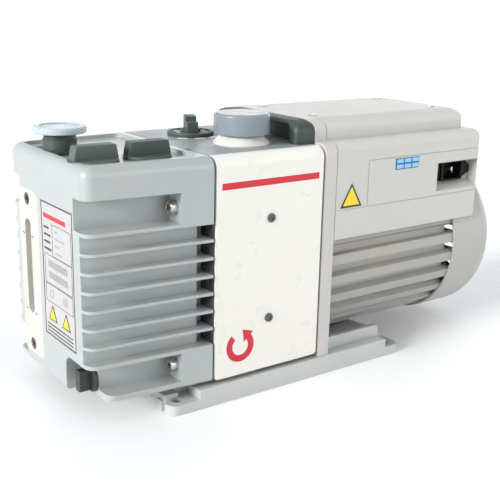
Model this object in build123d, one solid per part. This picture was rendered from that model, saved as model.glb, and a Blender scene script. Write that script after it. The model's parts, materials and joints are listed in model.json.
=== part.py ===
from build123d import *
import os
from math import cos, radians, sin, tan

# Two-stage rotary vane vacuum pump, direct-driven by a fan-cooled motor.
# Working axes, millimetres: X runs from the oil-box end face (0) to the fan cowl, Y is across
# with the connector side at -Y, Z is up from the floor. export() centres X, so the origin is
# the middle of the footprint on the floor.

# ---- overall ----
LENGTH = 427.0
AXIS_Z = 90.3            # height of the common motor and pump shaft
TOP_Z = 198.0            # top of the oil box and pump body
BODY_BOTTOM_Z = 19.6
RUNNING_GAP = 0.05       # radial clearance of every turning fit
FACE_GAP = 0.3           # clearance between faces that move past each other

# ---- base ----
BASE_X0, BASE_X1 = 61.5, 305.0
BASE_HALF = 79.0
RAIL_INNER = 57.0
FOOT_Z = 8.5
FOOT_CORNER_R = 8.0
RAIL_TOP = 16.0
RAIL_X0, RAIL_X1 = 88.0, 287.0
BEAM_HALF = 66.0         # cross beam between the front feet
WEB_Z0, WEB_Z1 = 7.0, 13.0
MOTOR_BLOCK_TOP = 27.0
MOTOR_BLOCK_HALF = 68.0
FOOT_HOLE_R = 4.5
FOOT_HOLES = [(72.5, 69.0), (293.5, 69.0), (72.5, -69.0), (293.5, -69.0)]
BASE_BOLTS = [(122.0, 30.0), (190.0, 30.0), (122.0, -30.0), (190.0, -30.0)]

# ---- oil box ----
BOX_X1 = 101.0
BOX_HALF_FRONT = 66.8
BOX_TAPER = tan(radians(5.2))
BOX_CORNER_R = 9.0
BOX_WALL_X = 11.0        # end wall thickness
CAVITY_HALF = 45.0
CAVITY_Z0, CAVITY_Z1 = 28.0, 188.0
TOP_RECESS_Z = 195.0
POCKET_X1 = 74.3
POCKET_DEPTH = 18.0
POCKETS_Z = [(150.6, 174.0), (25.2, 48.4)]
FIN_GAP_TOP = 147.7
FIN_GAP = 11.7
FIN_PITCH = 14.1
FIN_GAPS = 7
FIN_DEPTH = 9.0
FIN_SLOT_X0 = 92.0       # the valleys deepen here, beside the pump body
BOX_SCREWS = [(64.0, 162.0), (64.0, 37.0), (-64.0, 162.0), (-64.0, 37.0)]
PLATE_Y0, PLATE_Y1, PLATE_Z0, PLATE_Z1 = -47.5, 9.4, 54.5, 163.0
PLATE_T = 0.6
SIGHT_Y, SIGHT_HALF = 33.5, 18.5
SIGHT_Z0, SIGHT_Z1 = 28.0, 165.0
SIGHT_T = 4.0
WINDOW_Y, WINDOW_HALF = 36.0, 5.8
WINDOW_Z0, WINDOW_Z1 = 63.0, 141.0
SIGHT_SCREWS_Z = [36.0, 157.0]
DRAIN_Y, DRAIN_Z = -41.5, 31.5
DRAIN_NOTCH_X, DRAIN_NOTCH_Y, DRAIN_NOTCH_Z = 15.0, -27.0, 48.4
DRAIN_R = 6.5
DRAIN_FLANGE_R = 10.5
SHELF_CORNER_R = 7.0     # rounded end of the lower shelf beside the drain notch
FILLERS = [(23.0, -37.0), (66.0, -38.0)]
FILLER_R = 14.0
FILLER_DISC_R = 18.2
FILLER_STUB_Z = 184.0
OUTLET_X, OUTLET_Y = 20.7, 16.0
OUTLET_BORE_R = 10.0

# ---- pump body and side panels ----
BODY_X0, BODY_X1 = 103.1, 206.4
PANEL_Y = 76.0
PANEL_T = 3.0
PANEL_LIP = 66.0
PANEL_CORNER_R = 9.0
COUPLING_BAY_R = 46.0
COUPLING_BAY_X = 125.0
PANEL_SCREWS = [(154.7, 145.9), (154.7, 62.9)]
INLET_X, INLET_Y = 156.5, -31.0
INLET_BORE_R = 12.5
INLET_PASSAGE_Z = 138.0
BALLAST_X, BALLAST_Y = 144.6, 27.0
BALLAST_STEM_R = 6.0
SELECTOR_X, SELECTOR_Z = 178.0, 112.0
SELECTOR_STEM_R = 5.0

# ---- frame, handle and motor cover share one outline ----
FRAME_X0, FRAME_X1 = 208.6, 220.2
SHELL_HALF = 76.6
SHOULDER_Z = 199.5
SHOULDER_R = 8.0
HUMP_HALF = 61.6
HUMP_FLAT = 47.4
HUMP_EDGE_Z = 213.5
HUMP_EDGE_R = 8.0
HUMP_Z = 216.9
COVER_X1 = 398.0
HUMP_X1 = 388.0
HUMP_REAR_R = 7.0
SEAM = 0.6               # width and depth of the joint lines between covers
COVER_Z0 = 117.9
COVER_T = 2.5
COVER_SCREWS = [(226.5, 35.0), (369.5, 35.0), (226.5, -35.0), (369.5, -35.0)]
HATCH_X0, HATCH_Z0, HATCH_Z1 = 256.0, 143.0, 182.4
HANDLE_X0 = 190.0
HANDLE_INSET = 0.5       # the handle sits just inside the frame outline
HANDLE_GAP = 0.9         # dark joint between handle and frame

# ---- mains inlet niche in the cover ----
NICHE_X0, NICHE_X1 = 340.3, 393.5
NICHE_Z0, NICHE_Z1 = 146.0, 172.3
NICHE_DEPTH = 11.0
NICHE_RISE = 6.0
INLET_FLANGE = (49.0, 19.0)

# ---- motor ----
MOTOR_X1 = 374.0         # rear end of the ribs, inside the cowl
MOTOR_VALLEY_X1 = 366.0  # the barrel between the ribs stops short, leaving air slots
COWL_X0 = 370.0
COWL_R = 78.0
COWL_T = 2.0
COWL_ROUND = 17.0
COWL_SCREW_X = 373.5
MOTOR_VALLEY_R = 69.5
MOTOR_RIB_R = 75.8
MOTOR_BORE_R = 62.0
RIB_COUNT = 26
SHAFT_R = 10.0
BEARING_R = 21.0
BEARING_W = 12.0
BEARINGS_X = [222.0, 352.0]
BALL_CIRCLE_R = 15.5
BALL_R = 2.45
BALL_COUNT = 9
CORE_X0, CORE_X1 = 255.0, 325.0
CORE_BORE_R = 38.0
WINDING_LENGTH = 15.0

# ---- vane stages ----
STAGE_HALF = 44.0
STAGE_Z0, STAGE_Z1 = 46.0, 146.0
STAGE_SCREWS_Z = (STAGE_Z0 + 11.5, STAGE_Z1 - 6)    # lower heads pass above the drain notch wall
STAGE_BORE_R = 34.0
ROTOR_R = 29.0
ROTOR_OFFSET = STAGE_BORE_R - ROTOR_R - FACE_GAP
HV_X0, HV_X1 = 58.0, 103.1
LV_X0, LV_X1 = 28.0, 52.0
END_PLATE_X0 = 22.0
VANE_T = 5.0
COUPLING_R = 20.0
COUPLING_PUMP_X = (145.0, 163.0)
COUPLING_MOTOR_X = (179.0, 197.0)


# ---- shape helpers ----
def block(x0, x1, y0, y1, z0, z1):
    """Box between two corners."""
    return Pos((x0 + x1) / 2, (y0 + y1) / 2, (z0 + z1) / 2) * Box(x1 - x0, y1 - y0, z1 - z0)


def rod_x(radius, x0, x1, y=0.0, z=AXIS_Z):
    """Cylinder along X."""
    return Pos((x0 + x1) / 2, y, z) * Rot(0, 90, 0) * Cylinder(radius, x1 - x0)


def rod_y(radius, y0, y1, x, z):
    """Cylinder along Y."""
    return Pos(x, (y0 + y1) / 2, z) * Rot(90, 0, 0) * Cylinder(radius, y1 - y0)


def rod_z(radius, z0, z1, x, y):
    """Cylinder along Z."""
    return Pos(x, y, (z0 + z1) / 2) * Cylinder(radius, z1 - z0)


def ring_x(outer, inner, x0, x1, y=0.0, z=AXIS_Z):
    """Tube along X."""
    return rod_x(outer, x0, x1, y, z) - rod_x(inner, x0 - 1, x1 + 1, y, z)


def plan_prism(points, z0, z1):
    """Prism over a polygon in plan."""
    return Pos(0, 0, z0) * extrude(make_face(Polyline(*points, close=True)), z1 - z0)


def rounded_x(y0, y1, z0, z1, radius, x0, x1):
    """Plate of rounded rectangle outline, thick along X."""
    size = (y1 - y0, z1 - z0)
    face = Plane((x0, (y0 + y1) / 2, (z0 + z1) / 2), x_dir=(0, 1, 0), z_dir=(1, 0, 0))
    return extrude(face * RectangleRounded(*size, radius), x1 - x0)


def edges_at(shape, axis, tests):
    """Edges along an axis whose centre passes every (coordinate, low, high) test."""
    found = []
    for edge in shape.edges().filter_by(axis):
        centre = edge.center()
        place = {"x": centre.X, "y": centre.Y, "z": centre.Z}
        if all(low <= place[name] <= high for name, low, high in tests):
            found.append(edge)
    return found


def both_sides(shape):
    """A shape and its mirror image across the centre plane."""
    return shape + mirror(shape, about=Plane.XZ)


def group(shapes):
    """Separate solids that share one node."""
    return Compound(children=[solid for shape in shapes for solid in shape.solids()])


def socket_screw(head_r, head_h, shank_r, shank_length):
    """Socket-head screw: head from z 0 up, shank below."""
    head = Pos(0, 0, head_h / 2) * Cylinder(head_r, head_h)
    head = chamfer(head.edges().sort_by(Axis.Z)[-1], head_h * 0.12)
    socket = Pos(0, 0, head_h * 0.75) * extrude(RegularPolygon(head_r * 0.5, 6), head_h)
    socket = Pos(0, 0, -head_h * 0.25) * socket
    return head + Pos(0, 0, -shank_length / 2) * Cylinder(shank_r, shank_length) - socket


def box_half(x):
    """Half-width of the tapered oil box at a station."""
    return BOX_HALF_FRONT + x * BOX_TAPER


def side_strip(x0, x1, depth, z0, z1):
    """Cutter that follows the oil box's tapered side to a depth, on both sides."""
    outside = 10.0
    points = [(x0, box_half(x0) - depth), (x1, box_half(x1) - depth),
              (x1, box_half(x1) + outside), (x0, box_half(x0) + outside)]
    return both_sides(plan_prism(points, z0, z1))


# ---- base ----
def motor_block():
    """Raised pad behind the frame; its top dips between two side lips to clear the motor."""
    pad = block(FRAME_X1, RAIL_X1, -MOTOR_BLOCK_HALF, MOTOR_BLOCK_HALF, WEB_Z1, MOTOR_BLOCK_TOP)
    rear = edges_at(pad, Axis.Y, [("x", RAIL_X1 - 1, RAIL_X1 + 1), ("z", 26, 28)])
    pad = fillet(rear, 4.0)
    lip, foot, middle = MOTOR_BLOCK_HALF - 4, MOTOR_BLOCK_HALF - 13, MOTOR_BLOCK_HALF - 32
    dip = Polyline((-lip, 28), (-lip, 27), (-foot, 22), (-middle, 20), (middle, 20), (foot, 22),
                   (lip, 27), (lip, 28), close=True)
    face = Plane((FRAME_X1 - 1, 0, 0), x_dir=(0, 1, 0), z_dir=(1, 0, 0))
    pad -= extrude(face * make_face(dip), 80)
    return pad - rod_x(COWL_R, FRAME_X1 - 1, RAIL_X1 + 1)


def base_plate():
    rails = []
    for side in (1, -1):
        across = sorted((side * RAIL_INNER, side * BASE_HALF))
        outside = ("y", *sorted((side * (BASE_HALF - 0.5), side * (BASE_HALF + 0.5))))
        foot = block(BASE_X0, BASE_X1, *across, 0, FOOT_Z)
        foot = fillet(edges_at(foot, Axis.Z, [outside]), FOOT_CORNER_R)
        rail = block(RAIL_X0, RAIL_X1, *across, 0, RAIL_TOP)
        rail = fillet(edges_at(rail, Axis.X, [outside, ("z", RAIL_TOP - 1, RAIL_TOP + 1)]), 1.2)
        rails.append(foot + rail)
    base = rails[0] + rails[1]
    base += block(BASE_X0 + 2, BASE_X1 - 6, -RAIL_INNER, RAIL_INNER, WEB_Z0, WEB_Z1)
    base += block(BASE_X0 + 1.5, BASE_X0 + 14, -BEAM_HALF, BEAM_HALF, 0.5, WEB_Z1)
    base += motor_block()
    base += block(108, 200, -40, 40, WEB_Z1, BODY_BOTTOM_Z)
    for side in (1, -1):
        base -= rod_z(2.4, -1, FOOT_Z + 6, BASE_X0 + 0.6, side * (BEAM_HALF + 1.2))
    for x, y in FOOT_HOLES:
        base -= rod_z(FOOT_HOLE_R, -1, FOOT_Z + 1, x, y)
    for x, y in BASE_BOLTS:
        base -= rod_z(4.0, 0, BODY_BOTTOM_Z + 1, x, y)
    return base


def base_bolts():
    bolt = Rot(180, 0, 0) * socket_screw(6.5, 5.5, 4.0, 24.0)
    return group([Pos(x, y, WEB_Z0) * bolt for x, y in BASE_BOLTS])


# ---- oil box ----
def oil_box_outline():
    points = [(0, -box_half(0)), (BOX_X1, -box_half(BOX_X1)), (BOX_X1, box_half(BOX_X1)), (0, box_half(0))]
    solid = plan_prism(points, BODY_BOTTOM_Z, TOP_Z)
    solid = fillet(edges_at(solid, Axis.Z, [("x", -1, 1)]), BOX_CORNER_R)
    top = [e for e in solid.edges() if e.center().Z > TOP_Z - 0.01 and e.center().X < BOX_X1 - 1]
    solid = fillet(top, BOX_CORNER_R - 0.5)
    foot = [e for e in solid.edges()
            if e.center().Z < BODY_BOTTOM_Z + 0.01 and e.center().X < BOX_X1 - 1]
    return fillet(foot, 3.0)


def oil_box_cavity():
    cavity = block(BOX_WALL_X, BOX_X1 + 1, -CAVITY_HALF, CAVITY_HALF, CAVITY_Z0, CAVITY_Z1)
    corner = block(0, DRAIN_NOTCH_X + 5, -CAVITY_HALF - 1, DRAIN_NOTCH_Y + 5, 0, DRAIN_NOTCH_Z + 2.5)
    return cavity - corner


def oil_box():
    box = oil_box_outline()
    for z0, z1 in POCKETS_Z:
        box -= side_strip(-5, POCKET_X1, POCKET_DEPTH, z0, z1)
    for index in range(FIN_GAPS):
        top = FIN_GAP_TOP - index * FIN_PITCH
        box -= side_strip(-5, BOX_X1 + 1, FIN_DEPTH, top - FIN_GAP, top)
        box -= side_strip(FIN_SLOT_X0, BOX_X1 + 1, POCKET_DEPTH, top - FIN_GAP, top)
    box -= oil_box_cavity()
    recess = plan_prism([(7, -58), (BOX_X1 - 6, -63), (BOX_X1 - 6, 63), (7, 58)], TOP_RECESS_Z, TOP_Z + 1)
    box -= fillet(recess.edges().filter_by(Axis.Z), 7.0)
    for y, z in BOX_SCREWS:
        box -= rod_x(3.3, POCKET_X1 - 1, BOX_X1 + 1, y, z)
    box -= rounded_x(PLATE_Y0, PLATE_Y1, PLATE_Z0, PLATE_Z1, 4.0, -1, PLATE_T)
    y0, y1 = SIGHT_Y - SIGHT_HALF, SIGHT_Y + SIGHT_HALF
    box -= rounded_x(y0, y1, SIGHT_Z0, SIGHT_Z1, 6.0, -1, SIGHT_T)
    box -= rounded_x(WINDOW_Y - 9, WINDOW_Y + 9, WINDOW_Z0 - 6, WINDOW_Z1 + 6, 6.0, 0, SIGHT_T + 4.5)
    box -= rounded_x(WINDOW_Y - 5, WINDOW_Y + 5, WINDOW_Z0, WINDOW_Z1, 4.9, 0, BOX_WALL_X + 1)
    for z in SIGHT_SCREWS_Z:
        box -= rod_x(2.5, 0, SIGHT_T + 6, WINDOW_Y, z)
    notch = block(-1, DRAIN_NOTCH_X, -90, DRAIN_NOTCH_Y, 0, DRAIN_NOTCH_Z)
    box -= fillet(edges_at(notch, Axis.X, [("y", -28, -26), ("z", 47, 49)]), 8.0)
    corner_x, corner_y = DRAIN_NOTCH_X + SHELF_CORNER_R, -box_half(DRAIN_NOTCH_X) + SHELF_CORNER_R
    shelf_corner = block(DRAIN_NOTCH_X - 1, corner_x, -80, corner_y, 0, POCKETS_Z[1][0] + 0.2)
    box -= shelf_corner - rod_z(SHELF_CORNER_R, -1, 30, corner_x, corner_y)
    box -= rod_x(DRAIN_R + RUNNING_GAP, DRAIN_NOTCH_X - 1, DRAIN_NOTCH_X + 14, DRAIN_Y, DRAIN_Z)
    for x, y in FILLERS:
        box -= rod_z(FILLER_R + RUNNING_GAP, FILLER_STUB_Z - 3, TOP_Z, x, y)
        box -= rod_z(FILLER_DISC_R + 0.9, TOP_RECESS_Z, TOP_Z + 1, x, y)
    return box - rod_z(OUTLET_BORE_R, CAVITY_Z1 - 1, TOP_Z, OUTLET_X, OUTLET_Y)


def oil_box_gasket():
    half = PANEL_Y - 2.0
    plate = block(BOX_X1, BODY_X0, -half, half, BODY_BOTTOM_Z + 1.5, TOP_Z - 2.0)
    plate = fillet(edges_at(plate, Axis.X, [("z", TOP_Z - 3, TOP_Z)]), 7.0)
    plate -= block(BOX_X1 - 1, BODY_X0 + 1, -CAVITY_HALF, CAVITY_HALF, CAVITY_Z0, CAVITY_Z1)
    for y, z in BOX_SCREWS:
        plate -= rod_x(3.3, BOX_X1 - 1, BODY_X0 + 1, y, z)
    return plate


def oil_box_screws():
    screw = Rot(0, -90, 0) * socket_screw(5.0, 6.0, 3.0, BODY_X0 + 9 - POCKET_X1)
    return group([Pos(POCKET_X1, y, z) * screw for y, z in BOX_SCREWS])


def rating_plate():
    return rounded_x(PLATE_Y0, PLATE_Y1, PLATE_Z0, PLATE_Z1, 4.0, 0, PLATE_T)


def sight_glass_plate():
    y0, y1 = SIGHT_Y - SIGHT_HALF, SIGHT_Y + SIGHT_HALF
    plate = rounded_x(y0, y1, SIGHT_Z0, SIGHT_Z1, 6.0, 0, SIGHT_T)
    plate -= rounded_x(WINDOW_Y - WINDOW_HALF, WINDOW_Y + WINDOW_HALF, WINDOW_Z0, WINDOW_Z1,
                       WINDOW_HALF - 0.1, -1, SIGHT_T + 1)
    for z in SIGHT_SCREWS_Z:
        plate -= rod_x(2.5, -1, SIGHT_T + 1, WINDOW_Y, z) + rod_x(5.0, -1, SIGHT_T - 1, WINDOW_Y, z)
    return plate


def sight_glass():
    return rounded_x(WINDOW_Y - 8.5, WINDOW_Y + 8.5, WINDOW_Z0 - 5.5, WINDOW_Z1 + 5.5, 5.5,
                     SIGHT_T, SIGHT_T + 3.0)


def sight_glass_seal():
    seal = rounded_x(WINDOW_Y - 8.5, WINDOW_Y + 8.5, WINDOW_Z0 - 5.5, WINDOW_Z1 + 5.5, 5.5,
                     SIGHT_T + 3.0, SIGHT_T + 4.5)
    return seal - rounded_x(WINDOW_Y - 5, WINDOW_Y + 5, WINDOW_Z0, WINDOW_Z1, 4.9, SIGHT_T, SIGHT_T + 9)


def sight_glass_screws():
    screw = Rot(0, -90, 0) * socket_screw(4.2, 2.6, 2.5, 6.5)
    return group([Pos(SIGHT_T - 1, WINDOW_Y, z) * screw for z in SIGHT_SCREWS_Z])


def drain_plug():
    flange_x = DRAIN_NOTCH_X - 3.0
    flange = rod_x(DRAIN_FLANGE_R, flange_x, DRAIN_NOTCH_X - FACE_GAP, DRAIN_Y, DRAIN_Z)
    plug = fillet(flange.edges().sort_by(Axis.X)[0], 0.8)
    plug += rod_x(DRAIN_R, flange_x + 1, DRAIN_NOTCH_X + 12, DRAIN_Y, DRAIN_Z)
    grip = block(2.5, flange_x + 0.5, DRAIN_Y - 3.8, DRAIN_Y + 3.8, DRAIN_Z - 8.5, DRAIN_Z + 8.5)
    return plug + fillet(grip.edges().filter_by(Axis.X), 1.5)


def filler_plug(x, y):
    base = rod_z(FILLER_DISC_R, TOP_RECESS_Z + FACE_GAP, TOP_RECESS_Z + 3.0, x, y)
    base = fillet(base.edges().sort_by(Axis.Z)[-1], 1.2)
    stub = rod_z(FILLER_R, FILLER_STUB_Z, TOP_RECESS_Z + 1, x, y)
    wedge = Plane.XZ * make_face(Polyline((-17.6, 0), (17.6, 0), (15.4, 10.6), (-15.4, 10.6), close=True))
    grip = extrude(wedge, 5.0, both=True)
    grip = fillet(grip.edges().filter_by(Axis.Y), 1.0)
    return base + stub + Pos(x, y, TOP_RECESS_Z + 2.6) * grip


def outlet_nozzle():
    flange = extrude(RectangleRounded(27, 36, 4.0), 2.6)
    nozzle = Pos(OUTLET_X + 0.4, OUTLET_Y, TOP_RECESS_Z) * flange
    nozzle += rod_z(13.0, TOP_RECESS_Z + 2, 205.5, OUTLET_X, OUTLET_Y)
    nozzle += rod_z(12.2, 205, 209.8, OUTLET_X, OUTLET_Y)
    return nozzle - rod_z(OUTLET_BORE_R, TOP_RECESS_Z - 1, 212, OUTLET_X, OUTLET_Y)


def outlet_cap():
    disc = rod_z(20.5, 210.1, 215.3, OUTLET_X, OUTLET_Y)
    disc = fillet(disc.edges(), 1.3)
    disc -= rod_z(15.0, 214.6, 216, OUTLET_X, OUTLET_Y)
    return disc + rod_z(OUTLET_BORE_R - RUNNING_GAP, 202, 211, OUTLET_X, OUTLET_Y)


def mist_filter():
    filter_block = block(BOX_WALL_X + 3, 62, 0, 42, 164, CAVITY_Z1)
    return filter_block - rod_z(OUTLET_BORE_R, 176, CAVITY_Z1 + 1, OUTLET_X, OUTLET_Y)


def mist_baffle():
    tray = block(BOX_WALL_X + 1, 70, -4, CAVITY_HALF - 1, 162, 164)
    return tray + block(BOX_WALL_X + 1, 70, -4, -2.5, 162, 176)


# ---- pump body ----
def panel_profile(y_out, z_top, radius, x0, x1):
    """Solid bar with the panel's rounded top edge, both sides of the body."""
    bar = block(x0, x1, -y_out, y_out, BODY_BOTTOM_Z, z_top)
    return fillet(edges_at(bar, Axis.X, [("z", z_top - 1, z_top + 1)]), radius)


def pump_body():
    inner_r = PANEL_CORNER_R - PANEL_T
    body = panel_profile(PANEL_Y - PANEL_T, TOP_Z - PANEL_T, inner_r, BODY_X0, BODY_X1)
    body += block(BODY_X0, BODY_X1, -PANEL_LIP, PANEL_LIP, TOP_Z - 30, TOP_Z)
    body -= rod_x(COUPLING_BAY_R, COUPLING_BAY_X, BODY_X1 + 1)
    body -= rod_x(SHAFT_R + RUNNING_GAP, BODY_X0 - 1, COUPLING_BAY_X + 1)
    body -= rod_x(16.0, 112, COUPLING_BAY_X + 1)
    for y, z in BOX_SCREWS:
        body -= rod_x(3.0, BODY_X0 - 1, BODY_X0 + 10, y, z)
    for x, y in BASE_BOLTS:
        body -= rod_z(4.0, BODY_BOTTOM_Z - 1, BODY_BOTTOM_Z + 12, x, y)
    for x, z in PANEL_SCREWS:
        body -= both_sides(rod_y(2.0, 62, PANEL_Y, x, z))
    body -= rod_z(INLET_BORE_R, INLET_PASSAGE_Z - 6, TOP_Z + 1, INLET_X, INLET_Y)
    body -= rod_x(5.0, BODY_X0 - 1, INLET_X, INLET_Y, INLET_PASSAGE_Z)
    body -= rod_z(BALLAST_STEM_R + RUNNING_GAP, TOP_Z - 24, TOP_Z + 1, BALLAST_X, BALLAST_Y)
    return body - rod_y(SELECTOR_STEM_R + RUNNING_GAP, 50, PANEL_Y, SELECTOR_X, SELECTOR_Z)


def side_panel(side):
    inner_r = PANEL_CORNER_R - PANEL_T
    shell = panel_profile(PANEL_Y, TOP_Z, PANEL_CORNER_R, BODY_X0, BODY_X1)
    shell -= panel_profile(PANEL_Y - PANEL_T, TOP_Z - PANEL_T, inner_r, BODY_X0 - 1, BODY_X1 + 1)
    panel = shell & block(BODY_X0, BODY_X1, *sorted((side * PANEL_LIP, side * 90)), 0, 300)
    low = edges_at(panel, Axis.Y, [("z", BODY_BOTTOM_Z - 1, BODY_BOTTOM_Z + 1)])
    panel = fillet(low, 3.0)
    for x, z in PANEL_SCREWS:
        panel -= both_sides(rod_y(2.0, 62, PANEL_Y + 1, x, z))
    if side > 0:
        panel -= rod_y(14.0, 60, PANEL_Y + 1, SELECTOR_X, SELECTOR_Z)
    return panel


def panel_screws():
    screw = Rot(90, 0, 0) * socket_screw(3.6, 1.4, 2.0, 13.0)
    near = [Pos(x, -PANEL_Y, z) * screw for x, z in PANEL_SCREWS]
    return group(near + [mirror(shape, about=Plane.XZ) for shape in near])


def inlet_nozzle():
    profile = [(INLET_BORE_R, 0), (23.0, 0), (23.0, 1.2), (17.0, 7.6), (17.0, 12.0), (20.0, 13.2),
               (20.0, 16.2), (INLET_BORE_R, 16.2)]
    face = Plane.XZ * make_face(Polyline(*profile, close=True))
    return Pos(INLET_X, INLET_Y, TOP_Z) * revolve(face, Axis.Z)


def inlet_cap():
    low, high = TOP_Z + 8.6, TOP_Z + 25.0
    cap = rod_z(22.7, low, high, INLET_X, INLET_Y)
    cap = fillet(cap.edges().sort_by(Axis.Z)[-1], 2.5)
    cap -= rod_z(20.3, low - 1, TOP_Z + 16.5, INLET_X, INLET_Y)
    return cap - rod_z(17.0, TOP_Z + 16, high - 2.2, INLET_X, INLET_Y)


def inlet_strainer():
    cup = rod_z(INLET_BORE_R, TOP_Z - 20, TOP_Z - 2, INLET_X, INLET_Y)
    return cup - rod_z(INLET_BORE_R - 0.8, TOP_Z - 19.2, TOP_Z - 1, INLET_X, INLET_Y)


def gas_ballast_knob():
    dial = rod_z(19.8, TOP_Z + FACE_GAP, TOP_Z + 3.4, 0, 0)
    dial = fillet(dial.edges().sort_by(Axis.Z)[-1], 1.0)
    dial -= rod_z(16.0, TOP_Z + 2.8, TOP_Z + 4, 0, 0)
    hub = rod_z(8.0, TOP_Z + 2, TOP_Z + 5.5, 0, 0)
    grip = block(-4.5, 4.5, -13, 13, TOP_Z + 2, TOP_Z + 12)
    grip += block(-4.5, 4.5, -2, 13, TOP_Z + 2, TOP_Z + 15.7)
    stem = rod_z(BALLAST_STEM_R, TOP_Z - 22, TOP_Z + 1, 0, 0)
    return Pos(BALLAST_X, BALLAST_Y, 0) * Rot(0, 0, -24) * (dial + hub + grip + stem)


def mode_selector_knob():
    stem = rod_y(SELECTOR_STEM_R, 52, 75, SELECTOR_X, SELECTOR_Z)
    knob = rod_y(13.0, 73 + FACE_GAP, 76, SELECTOR_X, SELECTOR_Z)
    bar = block(SELECTOR_X - 2.5, SELECTOR_X + 2.5, 75, 78.6, SELECTOR_Z - 11, SELECTOR_Z + 11)
    return stem + knob + bar


# ---- vane stages ----
def stage_block(x0, x1):
    block_body = block(x0, x1, -STAGE_HALF, STAGE_HALF, STAGE_Z0, STAGE_Z1)
    block_body = fillet(block_body.edges().filter_by(Axis.X), 8.0)
    for y in (-38.0, 38.0):
        for z in STAGE_SCREWS_Z:
            block_body -= rod_x(3.0, x0 - 1, x1 + 1, y, z)
    return block_body


def stage_bore(x0, x1):
    return rod_x(STAGE_BORE_R, x0 - 1, x1 + 1, 0, AXIS_Z - ROTOR_OFFSET)


def hv_stator():
    stator = stage_block(HV_X0, HV_X1) - stage_bore(HV_X0, HV_X1)
    stator -= rod_x(5.0, 82, HV_X1 + 1, INLET_Y, INLET_PASSAGE_Z)
    return stator - rod_z(5.0, 96, INLET_PASSAGE_Z, 82, INLET_Y)


def intermediate_plate():
    return stage_block(LV_X1, HV_X0) - rod_x(SHAFT_R + RUNNING_GAP, LV_X1 - 1, HV_X0 + 1)


def lv_stator():
    stator = stage_block(LV_X0, LV_X1) - stage_bore(LV_X0, LV_X1)
    return stator - rod_z(3.0, 110, STAGE_Z1 + 1, 40, 22)


def end_plate():
    return stage_block(END_PLATE_X0, LV_X0) - rod_x(SHAFT_R + RUNNING_GAP, END_PLATE_X0 - 1, LV_X0 + 1)


def stage_bolts():
    screw = Rot(0, -90, 0) * socket_screw(5.0, 5.0, 3.0, HV_X1 - END_PLATE_X0)
    return group([Pos(END_PLATE_X0, y, z) * screw
                  for y in (-38.0, 38.0) for z in STAGE_SCREWS_Z])


def exhaust_valve():
    leaf = block(34, 46, 14, 34, STAGE_Z1, STAGE_Z1 + 0.8)
    stop = block(36, 44, 14, 34, STAGE_Z1 + 0.8, STAGE_Z1 + 2.8)
    return leaf + stop


def rotor(x0, x1):
    drum = ring_x(ROTOR_R, SHAFT_R, x0 + FACE_GAP, x1 - FACE_GAP)
    slot = block(x0, x1, 11, ROTOR_R + 1, AXIS_Z - VANE_T / 2, AXIS_Z + VANE_T / 2)
    return drum - both_sides(slot)


def vanes(x0, x1):
    vane = block(x0 + FACE_GAP, x1 - FACE_GAP, 11.5, ROTOR_R - 0.1,
                 AXIS_Z - VANE_T / 2, AXIS_Z + VANE_T / 2)
    return group([vane, mirror(vane, about=Plane.XZ)])


def shaft_seal():
    return ring_x(16.0, SHAFT_R + RUNNING_GAP, 113, 121)


def pump_shaft():
    return rod_x(SHAFT_R, END_PLATE_X0 + 1, COUPLING_PUMP_X[1])


# ---- coupling: two jawed hubs with a rubber spider between ----
def sector(r0, r1, start, span, x0, x1):
    """Part of a ring about the shaft, between two angles in degrees."""
    reach = 2 * r1
    corners = [(0, 0)]
    for step in range(3):
        angle = radians(start + span * step / 2)
        corners.append((reach * cos(angle), reach * sin(angle)))
    face = Plane((x0, 0, AXIS_Z), x_dir=(0, 1, 0), z_dir=(1, 0, 0))
    wedge = extrude(face * make_face(Polyline(*corners, close=True)), x1 - x0)
    return ring_x(r1, r0, x0, x1) & wedge


def coupling_half(span_x, jaw_x, first_angle):
    hub = ring_x(COUPLING_R, SHAFT_R, *span_x)
    for index in range(3):
        hub += sector(SHAFT_R, COUPLING_R, first_angle + 120 * index - 24, 48, *jaw_x)
    return hub


def coupling_pump_half():
    hub = coupling_half(COUPLING_PUMP_X, (162.0, 178.0), 0)
    for index in range(8):
        blade = sector(COUPLING_R - 1, 42.0, 45 * index, 5, 147, 159)
        hub += blade
    return hub


def coupling_motor_half():
    return coupling_half(COUPLING_MOTOR_X, (164.0, 180.0), 60)


def coupling_spider():
    spider = ring_x(SHAFT_R - 0.1, 4.0, 164, 178)
    for index in range(6):
        spider += sector(SHAFT_R - 1.0, COUPLING_R - 0.5, 60 * index + 24.2, 11.6, 164, 178)
    return spider


# ---- frame, handle, cover ----
def hump_bar(x0, x1, inset):
    """Solid bar with the shared rounded outline, set in all round by the inset."""
    flat, edge, top = HUMP_FLAT - inset * 0.3, HUMP_EDGE_Z - inset, HUMP_Z - inset
    half = HUMP_HALF - inset
    outline = make_face(Polyline((-half, 150), (half, 150), (half, edge), (flat, top),
                                 (-flat, top), (-half, edge), close=True))
    sides = [corner for corner in outline.vertices() if abs(corner.Y - edge) < 0.1]
    outline = fillet(sides, HUMP_EDGE_R - inset)
    crest = [corner for corner in outline.vertices() if abs(corner.Y - top) < 0.1]
    outline = fillet(crest, 25.0)
    face = Plane((x0, 0, 0), x_dir=(0, 1, 0), z_dir=(1, 0, 0))
    return extrude(face * outline, x1 - x0)


def shell_bar(x0, x1, z0, inset):
    """Rounded shoulders below the hump."""
    half, top = SHELL_HALF - inset, SHOULDER_Z - inset
    bar = block(x0, x1, -half, half, z0, top)
    return fillet(edges_at(bar, Axis.X, [("z", top - 0.5, top + 0.5)]), SHOULDER_R - inset)


def adaptor_frame():
    frame = shell_bar(FRAME_X0, FRAME_X1, RAIL_TOP, 0) + hump_bar(FRAME_X0, FRAME_X1, 0)
    frame += ring_x(58.0, 50.0, BODY_X1, FRAME_X0)
    return frame - rod_x(50.0, FRAME_X0 - 1, FRAME_X1 + 1)


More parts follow.
